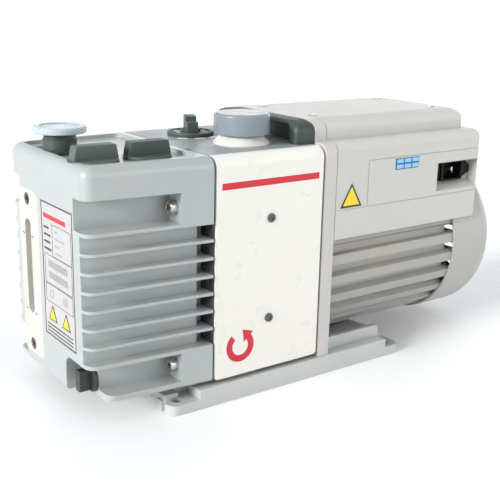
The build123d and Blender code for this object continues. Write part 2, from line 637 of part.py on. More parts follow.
def carry_handle():
    front_x1 = FRAME_X0 - HANDLE_GAP
    bar = hump_bar(HANDLE_X0, front_x1, HANDLE_INSET) & block(HANDLE_X0, front_x1, -70, 70, TOP_Z, 230)
    bar = fillet(edges_at(bar, Axis.Z, [("x", HANDLE_X0 - 1, HANDLE_X0 + 1)]), 6.0)
    bar += hump_bar(front_x1 - 1, FRAME_X0, 2.5) & block(front_x1 - 1, FRAME_X0, -70, 70, TOP_Z, 230)
    recess = block(HANDLE_X0 - 1, FRAME_X0 - 4, -51, 51, TOP_Z - 1, HUMP_Z - 3.2)
    recess_top = edges_at(recess, Axis.X, [("z", HUMP_Z - 4, HUMP_Z - 3)])
    return bar - fillet(recess_top, 5.0)


def cover_bar(inset):
    """Motor cover outline; the hump stops short of the rear end."""
    start = FRAME_X1 - (1 if inset else 0)
    rear = COVER_X1 - inset
    bar = shell_bar(start, rear, COVER_Z0 - (1 if inset else 0), inset)
    bar = fillet(edges_at(bar, Axis.Y, [("x", rear - 1, rear + 1), ("z", 190, 201)]), 7.0 - inset)
    hump = hump_bar(start, HUMP_X1 - inset, inset)
    back = [edge for edge in hump.edges()
            if edge.center().X > HUMP_X1 - inset - 0.01 and edge.center().Z > 151]
    return bar + fillet(back, HUMP_REAR_R - inset)


def cover_seams():
    """Joint lines: the ring against the frame and the outline of the wiring hatch."""
    x0, x1 = FRAME_X1 - 1, FRAME_X1 + SEAM
    ring = shell_bar(x0, x1, COVER_Z0 - 5, -1) + hump_bar(x0, x1, -1)
    ring -= shell_bar(x0 - 1, x1 + 1, COVER_Z0 - 6, SEAM) + hump_bar(x0 - 1, x1 + 1, SEAM)
    skin = (-SHELL_HALF - 1, -SHELL_HALF + SEAM * 0.6)
    half = SEAM * 0.4
    lines = block(FRAME_X1, COVER_X1 + 1, *skin, HATCH_Z0 - half, HATCH_Z0 + half)
    lines += block(HATCH_X0, COVER_X1 + 1, *skin, HATCH_Z1 - half, HATCH_Z1 + half)
    lines += block(HATCH_X0 - half, HATCH_X0 + half, *skin, HATCH_Z0, HATCH_Z1)
    return ring + lines


def niche(grow):
    """The mains inlet's recess, widened by a wall thickness."""
    front, back = -SHELL_HALF - 1, -SHELL_HALF + NICHE_DEPTH + grow
    low = NICHE_Z0 - grow
    points = [(front, low), (back, low + NICHE_RISE), (back, NICHE_Z1 + grow), (front, NICHE_Z1 + grow)]
    face = Plane((NICHE_X0 - grow, 0, 0), x_dir=(0, 1, 0), z_dir=(1, 0, 0))
    return extrude(face * make_face(Polyline(*points, close=True)), NICHE_X1 - NICHE_X0 + 2 * grow)


def motor_cover():
    outer = cover_bar(0)
    cover = outer - cover_bar(COVER_T)
    cover += niche(2.0) & outer
    cover -= niche(0)
    x, z = (NICHE_X0 + NICHE_X1) / 2, (NICHE_Z0 + NICHE_RISE + NICHE_Z1) / 2
    back = -SHELL_HALF + NICHE_DEPTH
    cover -= block(x - 14, x + 14, back - 1, back + 3, z - 9, z + 9)
    cover -= rod_x(COWL_R + 0.2, COWL_X0 - 0.3, COVER_X1 + 1)
    for sx, sy in COVER_SCREWS:
        cover -= rod_z(2.0, HUMP_Z - 4, HUMP_Z + 1, sx, sy)
    return cover - cover_seams()


def cover_screws():
    screw = socket_screw(3.6, 1.0, 2.0, 8.0)
    return group([Pos(x, y, HUMP_Z) * screw for x, y in COVER_SCREWS])


def power_inlet():
    x, z = (NICHE_X0 + NICHE_X1) / 2, (NICHE_Z0 + NICHE_RISE + NICHE_Z1) / 2
    back = -SHELL_HALF + NICHE_DEPTH
    half_w, half_h = INLET_FLANGE[0] / 2, INLET_FLANGE[1] / 2
    outline = [(-half_w, -3), (-half_w, 3), (-half_w + 8, half_h), (half_w - 8, half_h),
               (half_w, 3), (half_w, -3), (half_w - 13, -half_h), (-half_w + 13, -half_h)]
    face = Plane((x, back, z), x_dir=(1, 0, 0), z_dir=(0, -1, 0))
    inlet = extrude(face * make_face(Polyline(*outline, close=True)), 3.0)
    inlet += block(x - 13.9, x + 13.9, back - 4.5, back + 9, z - 8.9, z + 8.9)
    return inlet - block(x - 12, x + 12, back - 6, back + 7, z - 7.5, z + 7.5)


def power_inlet_pins():
    x, z = (NICHE_X0 + NICHE_X1) / 2, (NICHE_Z0 + NICHE_RISE + NICHE_Z1) / 2
    back = -SHELL_HALF + NICHE_DEPTH
    places = [(-7.0, -2.0, 1.0), (1.0, 1.5, -3.0), (7.0, -2.0, 1.0)]
    return group([block(x + dx - 1, x + dx + 1, back + front, back + 7, z + dz - 1.6, z + dz + 1.6)
                  for dx, dz, front in places])


def voltage_plate():
    return block(287, 315, -SHELL_HALF - 0.5, -SHELL_HALF, 171.4, 181)


# ---- motor ----
def motor_rib(angle):
    """One broad cooling rib, trapezoidal in section."""
    face = Plane((FRAME_X1, 0, AXIS_Z), x_dir=(0, 1, 0), z_dir=(1, 0, 0))
    root, tip = 5.6, 4.2
    inner = MOTOR_VALLEY_R - 1
    outline = [(inner, -root), (MOTOR_RIB_R, -tip), (MOTOR_RIB_R, tip), (inner, root)]
    section = Rot(0, 0, angle) * make_face(Polyline(*outline, close=True))
    return extrude(face * section, MOTOR_X1 - FRAME_X1)


def motor_body():
    body = rod_x(MOTOR_VALLEY_R, FRAME_X1, MOTOR_VALLEY_X1)
    step = 360.0 / RIB_COUNT
    body += [motor_rib(step * (index + 0.5)) for index in range(RIB_COUNT)]
    body -= rod_x(MOTOR_BORE_R, BEARINGS_X[0] + BEARING_W + 4, MOTOR_X1)
    body -= rod_x(BEARING_R, BEARINGS_X[0], BEARINGS_X[0] + BEARING_W + 5)
    body -= rod_x(BEARING_R - 3, FRAME_X1 - 1, BEARINGS_X[0] + 1)
    return body & rod_x(MOTOR_RIB_R, FRAME_X1, MOTOR_X1)


def motor_end_shield():
    shield = rod_x(MOTOR_BORE_R, BEARINGS_X[1] - 4, BEARINGS_X[1] + BEARING_W + 2)
    shield -= rod_x(BEARING_R, BEARINGS_X[1] - 5, BEARINGS_X[1] + BEARING_W)
    return shield - rod_x(BEARING_R - 3, BEARINGS_X[1], MOTOR_X1)


def bearing_outer_rings():
    return group([ring_x(BEARING_R, BEARING_R - 3, x, x + BEARING_W) for x in BEARINGS_X])


def bearing_inner_rings():
    return group([ring_x(SHAFT_R + 3, SHAFT_R, x, x + BEARING_W) for x in BEARINGS_X])


def bearing_balls():
    balls = []
    for x in BEARINGS_X:
        for index in range(BALL_COUNT):
            angle = radians(360.0 / BALL_COUNT * index)
            y, z = BALL_CIRCLE_R * cos(angle), AXIS_Z + BALL_CIRCLE_R * sin(angle)
            balls.append(Pos(x + BEARING_W / 2, y, z) * Sphere(BALL_R))
    return group(balls)


def stator_core():
    return ring_x(MOTOR_BORE_R, CORE_BORE_R, CORE_X0, CORE_X1)


def stator_windings():
    coils = []
    for x0 in (CORE_X0 - WINDING_LENGTH, CORE_X1):
        coil = ring_x(57.0, 42.0, x0, x0 + WINDING_LENGTH)
        coils.append(fillet(coil.edges(), 3.0))
    return group(coils)


def motor_shaft():
    return rod_x(SHAFT_R, COUPLING_MOTOR_X[0], 396)


def motor_rotor():
    return ring_x(CORE_BORE_R - 0.4, SHAFT_R, CORE_X0, CORE_X1)


def fan():
    wheel = ring_x(17.0, SHAFT_R, 374, 394) + ring_x(60.0, SHAFT_R, 374, 376.5)
    for index in range(7):
        wheel += sector(16.0, 60.0, 360.0 / 7 * index, 3, 375, 394)
    return wheel


def fan_cowl():
    outer = rod_x(COWL_R, COWL_X0, LENGTH)
    outer = fillet(outer.edges().sort_by(Axis.X)[-1], COWL_ROUND)
    inner = rod_x(COWL_R - COWL_T, COWL_X0 - 1, LENGTH - COWL_T)
    inner = fillet(inner.edges().sort_by(Axis.X)[-1], COWL_ROUND - COWL_T)
    cowl = outer - inner
    for index in range(-5, 6):
        z = 9.0 * index
        chord = (52.0 ** 2 - z ** 2) ** 0.5
        for y0, y1 in ((3.0, chord), (-chord, -3.0)):
            cowl -= block(LENGTH - 5, LENGTH + 1, y0, y1, AXIS_Z + z - 2.4, AXIS_Z + z + 2.4)
    for angle in (0, 90, 270):
        y, z = COWL_R * cos(radians(angle)), COWL_R * sin(radians(angle))
        cowl -= Pos(COWL_SCREW_X, y, AXIS_Z + z) * Rot(angle - 90, 0, 0) * Cylinder(2.0, 10)
    return cowl


def cowl_screws():
    screws = []
    for angle in (0, 90, 270):
        radius = COWL_R - 0.4
        y, z = radius * cos(radians(angle)), radius * sin(radians(angle))
        pin = Pos(0, 0, -0.8) * Cylinder(2.0, 1.6)
        screws.append(Pos(COWL_SCREW_X, y, AXIS_Z + z) * Rot(angle - 90, 0, 0) * pin)
    return group(screws)


def capacitor():
    can = rod_x(17.0, 240, 305, 0, AXIS_Z + MOTOR_RIB_R + 17.2)
    return fillet(can.edges(), 2.0) + rod_x(4.0, 304, 309, 0, AXIS_Z + MOTOR_RIB_R + 17.2)


def terminal_block():
    z = AXIS_Z + MOTOR_RIB_R
    return block(322, 350, -15, 15, z, z + 14)


def export(shape, name):
    shape = Pos(-LENGTH / 2, 0, 0) * shape
    export_step(shape, f"parts/{name}.step")


MAKERS = [
    base_plate, base_bolts, oil_box, oil_box_gasket, oil_box_screws, rating_plate, sight_glass_plate,
    sight_glass, sight_glass_seal, sight_glass_screws, drain_plug, outlet_nozzle, outlet_cap,
    mist_filter, mist_baffle, pump_body, panel_screws, inlet_nozzle, inlet_cap, inlet_strainer,
    gas_ballast_knob, mode_selector_knob, hv_stator, intermediate_plate, lv_stator, end_plate,
    stage_bolts, exhaust_valve, shaft_seal, pump_shaft, coupling_pump_half, coupling_motor_half,
    coupling_spider, adaptor_frame, carry_handle, motor_cover, cover_screws, power_inlet,
    power_inlet_pins, voltage_plate, motor_body, motor_end_shield,
    bearing_outer_rings, bearing_inner_rings, bearing_balls, stator_core, stator_windings,
    motor_shaft, motor_rotor, fan, fan_cowl, cowl_screws, capacitor, terminal_block,
]

os.makedirs("parts", exist_ok=True)
for maker in MAKERS:
    export(maker(), maker.__name__)
export(side_panel(-1), "side_panel_near")
export(side_panel(1), "side_panel_far")
export(filler_plug(*FILLERS[0]), "filler_plug_front")
export(filler_plug(*FILLERS[1]), "filler_plug_rear")
export(group([rotor(HV_X0, HV_X1), rotor(LV_X0, LV_X1)]), "vane_rotors")
export(group([vanes(HV_X0, HV_X1), vanes(LV_X0, LV_X1)]), "vanes")
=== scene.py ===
"""Looks of the rotary vane vacuum pump: materials, printed marks, light and camera."""
import json
import math

import bmesh
import bpy
from mathutils import Matrix, Vector


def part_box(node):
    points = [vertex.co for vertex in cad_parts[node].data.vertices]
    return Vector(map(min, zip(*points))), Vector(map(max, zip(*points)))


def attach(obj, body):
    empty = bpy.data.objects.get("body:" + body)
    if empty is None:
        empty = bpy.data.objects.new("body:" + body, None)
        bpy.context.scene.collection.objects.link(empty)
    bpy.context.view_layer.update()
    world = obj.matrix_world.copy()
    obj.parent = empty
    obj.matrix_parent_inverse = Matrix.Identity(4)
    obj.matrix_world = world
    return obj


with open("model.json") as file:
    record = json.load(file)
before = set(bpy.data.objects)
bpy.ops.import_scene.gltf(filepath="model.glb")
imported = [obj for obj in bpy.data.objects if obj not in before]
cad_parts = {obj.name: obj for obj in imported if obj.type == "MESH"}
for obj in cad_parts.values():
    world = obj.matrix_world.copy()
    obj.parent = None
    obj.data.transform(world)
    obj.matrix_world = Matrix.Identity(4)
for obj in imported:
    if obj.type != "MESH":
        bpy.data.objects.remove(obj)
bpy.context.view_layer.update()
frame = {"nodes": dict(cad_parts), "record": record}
MM = 0.001
NODES = frame["nodes"]
CASING = "pump_casing"


# ---------------------------------------------------------------- node helpers
class Look:
    """A material being built: one Principled shader and the nodes that feed it."""

    def __init__(self, name, roughness=0.5, metallic=0.0, **sockets):
        self.material = bpy.data.materials.new(name)
        self.material.use_nodes = True
        self.tree = self.material.node_tree
        self.shader = self.tree.nodes["Principled BSDF"]
        self.shader.inputs["Roughness"].default_value = roughness
        self.shader.inputs["Metallic"].default_value = metallic
        for socket, value in sockets.items():
            self.shader.inputs[socket.replace("_", " ")].default_value = value
        self.place = self.node("ShaderNodeTexCoord").outputs["Object"]

    def node(self, kind, **settings):
        made = self.tree.nodes.new(kind)
        for key, value in settings.items():
            setattr(made, key, value)
        return made

    def link(self, source, target):
        self.tree.links.new(source, target)

    def noise(self, scale, detail=3.0, roughness=0.5, stretch=None):
        """Noise in object space; scale is features per metre."""
        texture = self.node("ShaderNodeTexNoise")
        texture.inputs["Scale"].default_value = scale
        texture.inputs["Detail"].default_value = detail
        texture.inputs["Roughness"].default_value = roughness
        place = self.place
        if stretch:
            mapping = self.node("ShaderNodeMapping")
            mapping.inputs["Scale"].default_value = stretch
            self.link(place, mapping.inputs["Vector"])
            place = mapping.outputs["Vector"]
        self.link(place, texture.inputs["Vector"])
        return texture.outputs["Fac"]

    def spread(self, source, low, high, from_low=0.3, from_high=0.7):
        """Maps a 0-1 value onto a range."""
        ranged = self.node("ShaderNodeMapRange")
        ranged.inputs["From Min"].default_value = from_low
        ranged.inputs["From Max"].default_value = from_high
        ranged.inputs["To Min"].default_value = low
        ranged.inputs["To Max"].default_value = high
        self.link(source, ranged.inputs["Value"])
        return ranged.outputs["Result"]

    def mix(self, factor, first, second):
        """Mixes two colours; each may be a colour or a socket."""
        mixer = self.node("ShaderNodeMix", data_type="RGBA")
        for index, value in ((6, first), (7, second)):
            if isinstance(value, bpy.types.NodeSocket):
                self.link(value, mixer.inputs[index])
            else:
                mixer.inputs[index].default_value = (*value, 1.0)
        if isinstance(factor, bpy.types.NodeSocket):
            self.link(factor, mixer.inputs[0])
        else:
            mixer.inputs[0].default_value = factor
        return mixer.outputs[2]

    def occlusion_shade(self, reach, low, high):
        """Painted shade mask from ambient occlusion: 1 in corners and gaps, 0 on open faces."""
        occlusion = self.node("ShaderNodeAmbientOcclusion", samples=6)
        occlusion.inputs["Distance"].default_value = reach
        return self.spread(occlusion.outputs["AO"], 1.0, 0.0, low, high)

    def colour(self, source):
        self.link(source, self.shader.inputs["Base Color"])

    def rough(self, source):
        self.link(source, self.shader.inputs["Roughness"])

    def bump(self, layers, edge_radius=0.0):
        """Stacks (height socket, strength, distance) layers on softly rounded edges."""
        normal = None
        if edge_radius:
            edge = self.node("ShaderNodeBevel", samples=4)
            edge.inputs["Radius"].default_value = edge_radius
            normal = edge.outputs["Normal"]
        for height, strength, distance in layers:
            relief = self.node("ShaderNodeBump")
            relief.inputs["Strength"].default_value = strength
            relief.inputs["Distance"].default_value = distance
            self.link(height, relief.inputs["Height"])
            if normal:
                self.link(normal, relief.inputs["Normal"])
            normal = relief.outputs["Normal"]
        self.link(normal, self.shader.inputs["Normal"])


# ---------------------------------------------------------------- materials
def painted_casting(name, base, grain=0.32, painted_shade=0.12, coat=0.12):
    """Satin paint over a sand casting: soft cast lumps, fine orange peel, painted shade in the corners."""
    look = Look(name, roughness=0.45, Coat_Weight=coat, Coat_Roughness=0.28)
    cloud = look.noise(14, 4)
    speck = look.noise(900, 2)
    warm = tuple(c * k for c, k in zip(base, (1.03, 1.01, 0.98)))
    cool = tuple(c * k for c, k in zip(base, (0.95, 0.97, 1.0)))
    tone = look.mix(look.spread(cloud, 0.0, 1.0), warm, cool)
    # Painted shade: in corners and gaps the colour darkens towards this shaded tone, through the occlusion mask.
    shaded_tone = tuple(c * 0.55 for c in base)
    tone = look.mix(look.spread(look.occlusion_shade(0.012, 0.35, 0.95), 0.0, painted_shade, 0.0, 1.0), tone, shaded_tone)
    tone = look.mix(look.spread(speck, 0.0, 0.10, 0.60, 0.75), tone, tuple(c * 0.6 for c in base))
    look.colour(tone)
    look.rough(look.spread(look.noise(60, 3), 0.38, 0.55))
    look.bump([(look.noise(120, 3), grain, 0.0005), (look.noise(1500, 2), 0.35, 0.00012)], 0.0007)
    return look.material


def sheet_paint(name, base, painted_shade=0.25, gloss=0.34):
    """Smooth sprayed paint on a cover or panel."""
    look = Look(name, roughness=gloss, Coat_Weight=0.08, Coat_Roughness=0.3)
    tone = look.mix(look.spread(look.noise(9, 4), 0.0, 1.0), base, tuple(c * 0.965 for c in base))
    # Painted shade: corners and gaps darken towards this shaded tone, through the occlusion mask.
    shaded_tone = tuple(c * 0.6 for c in base)
    tone = look.mix(look.spread(look.occlusion_shade(0.010, 0.35, 0.9), 0.0, painted_shade, 0.0, 1.0), tone, shaded_tone)
    look.colour(tone)
    look.rough(look.spread(look.noise(45, 4), gloss - 0.05, gloss + 0.08))
    look.bump([(look.noise(1100, 2), 0.22, 0.0001)], 0.0006)
    return look.material


def moulded_plastic(name, base, gloss=0.5, texture=0.5, reach=0.004, recess_shade=0.4, **sockets):
    """Injection-moulded plastic with a spark-eroded skin."""
    look = Look(name, roughness=gloss, **sockets)
    tone = look.mix(look.spread(look.noise(70, 3), 0.0, 1.0), base, tuple(c * 0.86 for c in base))
    # Painted shade: corners and recesses darken towards 0.4 of the base colour, through the occlusion mask.
    tone = look.mix(look.spread(look.occlusion_shade(reach, 0.3, 0.9), 0.0, recess_shade, 0.0, 1.0), tone,
                    tuple(c * 0.4 for c in base))
    look.colour(tone)
    look.rough(look.spread(look.noise(240, 2), gloss - 0.06, gloss + 0.08))
    look.bump([(look.noise(2200, 2), texture, 0.0001)], 0.0005)
    return look.material


def metal(name, base, gloss=0.3, lines=(1, 1, 1), grain=400.0):
    """Machined or plated metal with fine directional marks."""
    look = Look(name, roughness=gloss, metallic=1.0)
    marks = look.noise(grain, 3, stretch=lines)
    look.colour(look.mix(look.spread(marks, 0.0, 1.0), base, tuple(c * 0.78 for c in base)))
    look.rough(look.spread(look.noise(grain * 0.4, 2, stretch=lines), gloss - 0.08, gloss + 0.12))
    look.bump([(marks, 0.25, 0.00006)], 0.0003)
    return look.material


def rubber(name, base):
    """Matt rubber with a bloom of dust."""
    look = Look(name, roughness=0.75)
    bloom = tuple(c + 0.05 for c in base)
    look.colour(look.mix(look.spread(look.noise(90, 4), 0.0, 1.0), base, bloom))
    look.rough(look.spread(look.noise(300, 2), 0.65, 0.85))
    look.bump([(look.noise(1800, 2), 0.3, 0.0001)])
    return look.material


def clear_cap(name, base):
    """Thin milky polythene moulding: smooth, half see-through, with a soft shine."""
    look = Look(name, roughness=0.28, Alpha=0.72, Coat_Weight=0.3, Coat_Roughness=0.2)
    look.colour(look.mix(look.spread(look.noise(40, 3), 0.0, 1.0), base, tuple(c * 0.94 for c in base)))
    look.rough(look.spread(look.noise(90, 3), 0.24, 0.36))
    look.bump([(look.noise(300, 2), 0.06, 0.0001)], 0.0004)
    return look.material


def window_glass(name, base):
    """Moulded sight glass, faintly green, with oil film streaks behind."""
    look = Look(name, roughness=0.12, Transmission_Weight=0.45, IOR=1.45)
    streak = look.noise(120, 3, stretch=(1, 1, 0.15))
    look.colour(look.mix(look.spread(streak, 0.0, 1.0), base, tuple(c * 0.9 for c in base)))
    look.rough(look.spread(look.noise(200, 2), 0.08, 0.2))
    look.bump([(streak, 0.1, 0.0002)])
    return look.material


def winding(name, base):
    """Varnished copper turns laid side by side."""
    look = Look(name, roughness=0.35, metallic=0.7)
    wave = look.node("ShaderNodeTexWave", wave_type="RINGS", rings_direction="X")
    wave.inputs["Scale"].default_value = 300
    wave.inputs["Distortion"].default_value = 2.0
    look.link(look.place, wave.inputs["Vector"])
    look.colour(look.mix(wave.outputs["Fac"], tuple(c * 0.5 for c in base), base))
    look.rough(look.spread(look.noise(300, 2), 0.28, 0.45))
    look.bump([(wave.outputs["Fac"], 0.6, 0.0004)])
    return look.material


def foam(name, base):
    """Open-cell filter foam."""
    look = Look(name, roughness=0.95)
    cells = look.node("ShaderNodeTexVoronoi")
    cells.inputs["Scale"].default_value = 700
    look.link(look.place, cells.inputs["Vector"])
    pores = look.spread(cells.outputs["Distance"], 1.0, 0.0, 0.1, 0.6)
    look.colour(look.mix(pores, tuple(c * 0.45 for c in base), base))
    look.rough(look.spread(look.noise(200, 2), 0.88, 1.0))
    look.bump([(pores, 0.8, 0.0008)])
    return look.material


def ink(name, base, gloss=0.4):
    """Printed film: flat colour with faint mottling."""
    look = Look(name, roughness=gloss)
    look.colour(look.mix(look.spread(look.noise(250, 3), 0.0, 1.0), base, tuple(c * 0.9 for c in base)))
    look.rough(look.spread(look.noise(500, 2), gloss - 0.05, gloss + 0.08))
    look.bump([(look.noise(1600, 2), 0.15, 0.00005)])
    return look.material


MATERIALS = {
    "casting_grey": painted_casting("casting_grey", (0.50, 0.51, 0.50)),
    "casting_blue_grey": painted_casting("casting_blue_grey", (0.37, 0.395, 0.395), 0.32, 0.05, 0.7),
    "casting_warm_grey": painted_casting("casting_warm_grey", (0.53, 0.51, 0.485)),
    "cover_grey": sheet_paint("cover_grey", (0.535, 0.53, 0.495), 0.22, 0.5),
    "white_panel": sheet_paint("white_panel", (0.80, 0.775, 0.73), 0.12, 0.3),
    # Deep painted shade in the corners and recesses of the grey-green plastic parts.
    "grey_green_plastic": moulded_plastic("grey_green_plastic", (0.066, 0.088, 0.078), 0.5, reach=0.03, recess_shade=0.85),
    "black_plastic": moulded_plastic("black_plastic", (0.006, 0.006, 0.006), 0.45, Specular_IOR_Level=0.2),
    "white_plastic": moulded_plastic("white_plastic", (0.46, 0.52, 0.57), 0.3, 0.2),
    "cream_plastic": moulded_plastic("cream_plastic", (0.64, 0.65, 0.61), 0.35, 0.2),
    "translucent_plastic": clear_cap("translucent_plastic", (0.26, 0.30, 0.34)),
    "blue_plastic": ink("blue_plastic", (0.03, 0.11, 0.33)),
    "label_film": ink("label_film", (0.46, 0.455, 0.455)),
    "zinc_steel": metal("zinc_steel", (0.62, 0.60, 0.55), 0.28),
    "black_steel": metal("black_steel", (0.16, 0.15, 0.15), 0.4),
    "sheet_steel": metal("sheet_steel", (0.55, 0.55, 0.55), 0.35, (1, 8, 1)),
    "bearing_steel": metal("bearing_steel", (0.60, 0.60, 0.61), 0.18, (0.2, 3, 3)),
    "lamination_steel": metal("lamination_steel", (0.28, 0.28, 0.30), 0.4, (12, 0.5, 0.5)),
    "bright_pin": metal("bright_pin", (0.78, 0.77, 0.72), 0.2),
    "bare_aluminium": metal("bare_aluminium", (0.62, 0.62, 0.63), 0.42),
    "cast_iron": metal("cast_iron", (0.20, 0.20, 0.20), 0.5, (1, 1, 1), 250.0),
    "copper_wire": winding("copper_wire", (0.60, 0.28, 0.12)),
    "black_rubber": rubber("black_rubber", (0.012, 0.012, 0.013)),
    "red_elastomer": rubber("red_elastomer", (0.42, 0.05, 0.03)),
    "filter_foam": foam("filter_foam", (0.70, 0.66, 0.50)),
    "vane_composite": moulded_plastic("vane_composite", (0.09, 0.06, 0.04), 0.35),
    "clear_glass": window_glass("clear_glass", (0.74, 0.77, 0.74)),
}
# Own copies of the slot paints: some are darkened or lightened as painted light, the motor body and fan cowl have
# their own tone.
OWN_PAINT_AND_PAINTED_LIGHT = {
    # Pump body: darker copy of the casting paint, as painted shade.
    "pump_body": painted_casting("body_paint_painted_shade", (0.27, 0.30, 0.325)),
    "motor_body": painted_casting("motor_paint", (0.37, 0.355, 0.33)),
    # Carry handle and drain plug: darker copies of the grey-green plastic with deep corner darkening, as painted
    # shade.
    "carry_handle": moulded_plastic("handle_plastic_painted_shade", (0.042, 0.058, 0.052), 0.5, reach=0.03, recess_shade=0.9),
    "drain_plug": moulded_plastic("drain_plastic_painted_shade", (0.034, 0.045, 0.038), 0.5, reach=0.03, recess_shade=0.85),
    # Front filler plug: lighter copy of the grey-green plastic, as painted light.
    "filler_plug_front": moulded_plastic("filler_plastic_painted_light", (0.10, 0.128, 0.115), 0.5, reach=0.02, recess_shade=0.7),
    "fan_cowl": sheet_paint("cowl_paint", (0.42, 0.415, 0.39), 0.2, 0.45),
}
RED = ink("red_ink", (0.62, 0.012, 0.03))
DARK = ink("dark_ink", (0.018, 0.018, 0.02))
GREY = ink("grey_ink", (0.34, 0.34, 0.35))
YELLOW = ink("yellow_ink", (0.86, 0.66, 0.02))
PALE_BLUE = ink("pale_blue_ink", (0.25, 0.55, 0.85))
WHITE = ink("white_ink", (0.88, 0.89, 0.90))


def dress_frame():
    """Gives every CAD node the material of its slot, or its own copy of that paint: darker copies as painted shade
    on the pump body, carry handle and drain plug, a lighter copy as painted light on the front filler plug, and a
    tone of their own on the motor body and fan cowl.
    """
    for row in frame["record"]["subparts"]:
        mesh = NODES[row["node"]].data
        mesh.materials.clear()
        mesh.materials.append(OWN_PAINT_AND_PAINTED_LIGHT.get(row["node"], MATERIALS[row["material_slot"]]))


# ---------------------------------------------------------------- thin printed shapes
class Face:
    """A flat face to print on: an origin, its right and up directions and its outward normal, in mm."""

    def __init__(self, origin, right, up, normal):
        self.origin, self.right = Vector(origin), Vector(right)
        self.up, self.normal = Vector(up), Vector(normal)

    def point(self, across, up, out=0.0):
        return (self.origin + self.right * across + self.up * up + self.normal * out) * MM


def add_piece(name, mesh, material, body):
    mesh.materials.append(material)
    piece = bpy.data.objects.new(name, mesh)
    bpy.context.scene.collection.objects.link(piece)
    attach(piece, body)
    return piece


def printed(name, face, shapes, material, body=CASING, lift=0.0, thickness=0.15):
    """Thin closed film pieces of the given outlines, on one face."""
    work = bmesh.new()
    for outline in shapes:
        low = [work.verts.new(face.point(a, b, lift)) for a, b in outline]
        high = [work.verts.new(face.point(a, b, lift + thickness)) for a, b in outline]
        work.faces.new(high)
        work.faces.new(low[::-1])
        for index in range(len(outline)):
            following = (index + 1) % len(outline)
            work.faces.new((low[index], low[following], high[following], high[index]))
    bmesh.ops.recalc_face_normals(work, faces=work.faces)
    mesh = bpy.data.meshes.new(name)
    work.to_mesh(mesh)
    work.free()
    return add_piece(name, mesh, material, body)


def bar(x0, x1, y0, y1):
    return [(x0, y0), (x1, y0), (x1, y1), (x0, y1)]


def frame_bars(x0, x1, y0, y1, width):
    """Four bars that make an open rectangle."""
    return [bar(x0, x1, y0, y0 + width), bar(x0, x1, y1 - width, y1),
            bar(x0, x0 + width, y0 + width, y1 - width), bar(x1 - width, x1, y0 + width, y1 - width)]


def arc(cx, cy, radius, start, end, steps=24):
    """Points along an arc, in degrees."""
    span = [math.radians(start + (end - start) * i / steps) for i in range(steps + 1)]
    return [(cx + radius * math.cos(a), cy + radius * math.sin(a)) for a in span]


def arc_bands(cx, cy, inner, outer, start, end, steps=24):
    """A curved band as one closed outline."""
    low, high = arc(cx, cy, inner, start, end, steps), arc(cx, cy, outer, start, end, steps)
    return [low + high[::-1]]


def node_box(node):
    low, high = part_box(node)
    return low / MM, high / MM


def end_face():
    """The rating plate's outer face, measured from its lower left corner."""
    low, high = node_box("rating_plate")
    return Face((low.x, high.y, low.z), (0, -1, 0), (0, 0, 1), (-1, 0, 0)), high.y - low.y, high.z - low.z


def rating_plate_print():
    """Generic blocks in place of the plate's wording: a red bar, grey rows, ruled boxes."""
    face, width, height = end_face()
    printed("plate_border", face, frame_bars(1.0, width - 1.0, 1.0, height - 1.0, 1.1), DARK)
    printed("plate_red_bar", face, [bar(5, 44, height - 13.5, height - 10)], RED)
    rows = [bar(5, 5 + length, height - down - 1.6, height - down)
            for length, down in ((9, 20), (12, 25.5), (11, 31), (13, 36.5))]
    rows += [bar(5, 51, 4.0 + step * 3.0, 5.0 + step * 3.0) for step in range(3)]
    printed("plate_rows", face, rows, DARK)
    values = [bar(24, 24 + length, height - down - 1.4, height - down)
              for length, down in ((5, 20.5), (17, 26), (8, 31.5), (13, 37))]
    printed("plate_values", face, values, GREY)
    rules = frame_bars(20, 53, 67, 92, 0.35) + frame_bars(5, 53, 44, 67, 0.35)
    rules += frame_bars(5, 53, 29, 43.4, 0.35)
    printed("plate_rules", face, rules, DARK)
    strips = [bar(11 + 1.5 * i, 11.9 + 1.5 * i, z, z + 5.5) for z in (48.5, 57.5) for i in range(23)]
    printed("plate_strips", face, strips, GREY)
    marks = arc_bands(15, 36, 2.6, 3.7, 0, 350) + [bar(36, 43, 33, 39)]
    printed("plate_marks", face, marks, GREY)
    for index, across in enumerate((16, 40)):
        edge = [(across - 7.5, 14.5), (across + 7.5, 14.5), (across, 27.5)]
        inner = [(across - 5.4, 15.7), (across + 5.4, 15.7), (across, 25.0)]
        printed(f"plate_patch_edge_{index}", face, [edge], DARK)
        printed(f"plate_patch_{index}", face, [inner], YELLOW, lift=0.12)


def side_panel_print(node, side):
    """A red stripe and a red direction-of-turn arrow on a side panel."""
    low, high = node_box(node)
    outer = low.y if side < 0 else high.y
    start = low.x if side < 0 else high.x
    face = Face((start, outer, 0), (-side, 0, 0), (0, 0, 1), (0, side, 0))
    name = "near" if side < 0 else "far"
    printed(f"stripe_{name}", face, [bar(5, 99, 172.4, 177.6)], RED)
    cx, cz, mean, half = 24.0, 44.0, 10.4, 2.8
    band = arc_bands(cx, cz, mean - half, mean + half, -230, 40, 40)
    tip_angle = math.radians(40)
    along = Vector((-math.sin(tip_angle), math.cos(tip_angle)))
    out = Vector((math.cos(tip_angle), math.sin(tip_angle)))
    centre = Vector((cx, cz)) + out * mean
    head = [tuple(centre - out * half * 2.1), tuple(centre + out * half * 2.1), tuple(centre + along * 9.0)]
    printed(f"turn_arrow_{name}", face, band + [head], RED)


